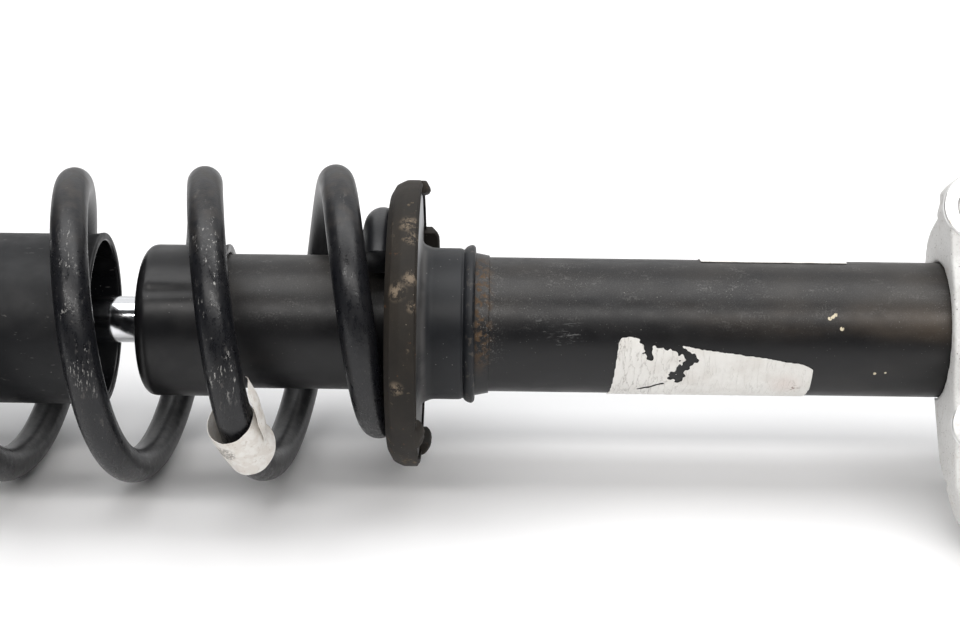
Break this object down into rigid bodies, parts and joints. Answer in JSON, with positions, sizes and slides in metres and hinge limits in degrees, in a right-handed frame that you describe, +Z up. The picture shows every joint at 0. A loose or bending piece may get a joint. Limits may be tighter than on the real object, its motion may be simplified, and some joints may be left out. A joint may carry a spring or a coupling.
{
  "type": "suspension strut assembly",
  "caption": "Coil-over suspension strut: gas damper with chromed rod, helical spring on rubber pads, dust tube, bearing top mount and cast clamp bracket.",
  "frame": {"origin": "middle of the bounding box at the surface the strut lies on", "axes": "+X along the strut from the top mount to the lower bracket, +Z up from the surface it lies on, the flange face turned towards -Y"},
  "size_m": [0.6252, 0.1364, 0.13],
  "materials": {
    "black_paint": "satin",
    "spring_paint": "satin",
    "black_plastic": "matte",
    "rubber": "matte",
    "foam": "matte",
    "chrome": "polished",
    "steel": "satin",
    "zinc": "satin",
    "aluminium": "cast",
    "white_plastic": "satin",
    "bronze": "satin",
    "paper": "matte"
  },
  "bodies": {
    "damper_body": {"damper_tube": "black_paint", "tube_base": "steel", "gas_plug": "zinc", "rod_guide": "aluminium", "guide_o_ring": "rubber", "guide_bush": "bronze", "rod_seal": "rubber", "guide_snap_ring": "steel", "body_cap": "black_plastic", "lower_spring_seat": "black_paint", "seat_support_ring": "black_paint", "lower_spring_pad": "rubber", "coil_spring": "spring_paint", "spring_tag": "paper", "lower_bracket": "aluminium", "clamp_bolt": "zinc", "clamp_washer": "zinc", "clamp_nut": "zinc", "tube_label": "paper", "tube_label_back": "paper"},
    "gas_piston": {"floating_piston": "aluminium", "floating_piston_o_ring": "rubber"},
    "upper_seat": {"upper_spring_seat": "black_paint", "upper_spring_pad": "rubber", "dust_tube": "black_plastic", "bearing_lower_race": "steel"},
    "bearing_cage": {"bearing_ball_cage": "steel"},
    "top_mount": {"top_mount_plate": "black_paint", "mount_sleeve": "zinc", "mount_rubber": "rubber", "mount_washer": "zinc", "rod_nut": "zinc", "mount_stud_1": "zinc", "mount_stud_2": "zinc", "mount_stud_3": "zinc", "mount_stud_4": "zinc", "bearing_upper_race": "steel", "piston_rod": "chrome", "bump_stop_cup": "steel", "bump_stop": "foam", "rebound_bumper": "foam", "rebound_stop_ring": "steel", "piston": "steel", "piston_band": "white_plastic", "compression_shims": "steel", "rebound_shims": "steel", "piston_nut": "zinc"}
  },
  "joints": [
    {"name": "strut_travel", "type": "slide", "parent": "damper_body", "child": "upper_seat", "axis": [1, 0, 0], "range_m": [0, 0.085], "stiffness_N_per_m": 35000, "deforming": ["coil_spring", "spring_tag"]},
    {"name": "floating_piston_slide", "type": "slide", "parent": "damper_body", "child": "gas_piston", "axis": [1, 0, 0], "range_m": [0, 0.0131]},
    {"name": "strut_bearing", "type": "hinge", "parent": "upper_seat", "child": "top_mount", "pos_m": [-0.267, 0.00316, 0.065], "axis": [1, 0, 0], "range_deg": [-45, 45]},
    {"name": "ball_cage_turn", "type": "hinge", "parent": "upper_seat", "child": "bearing_cage", "pos_m": [-0.267, 0.00316, 0.065], "axis": [1, 0, 0], "range_deg": [-22.6, 22.6]}
  ],
  "couplings": [
    {"joint": "floating_piston_slide", "follows": "strut_travel", "ratio": 0.15312},
    {"joint": "ball_cage_turn", "follows": "strut_bearing", "ratio": 0.5}
  ]
}
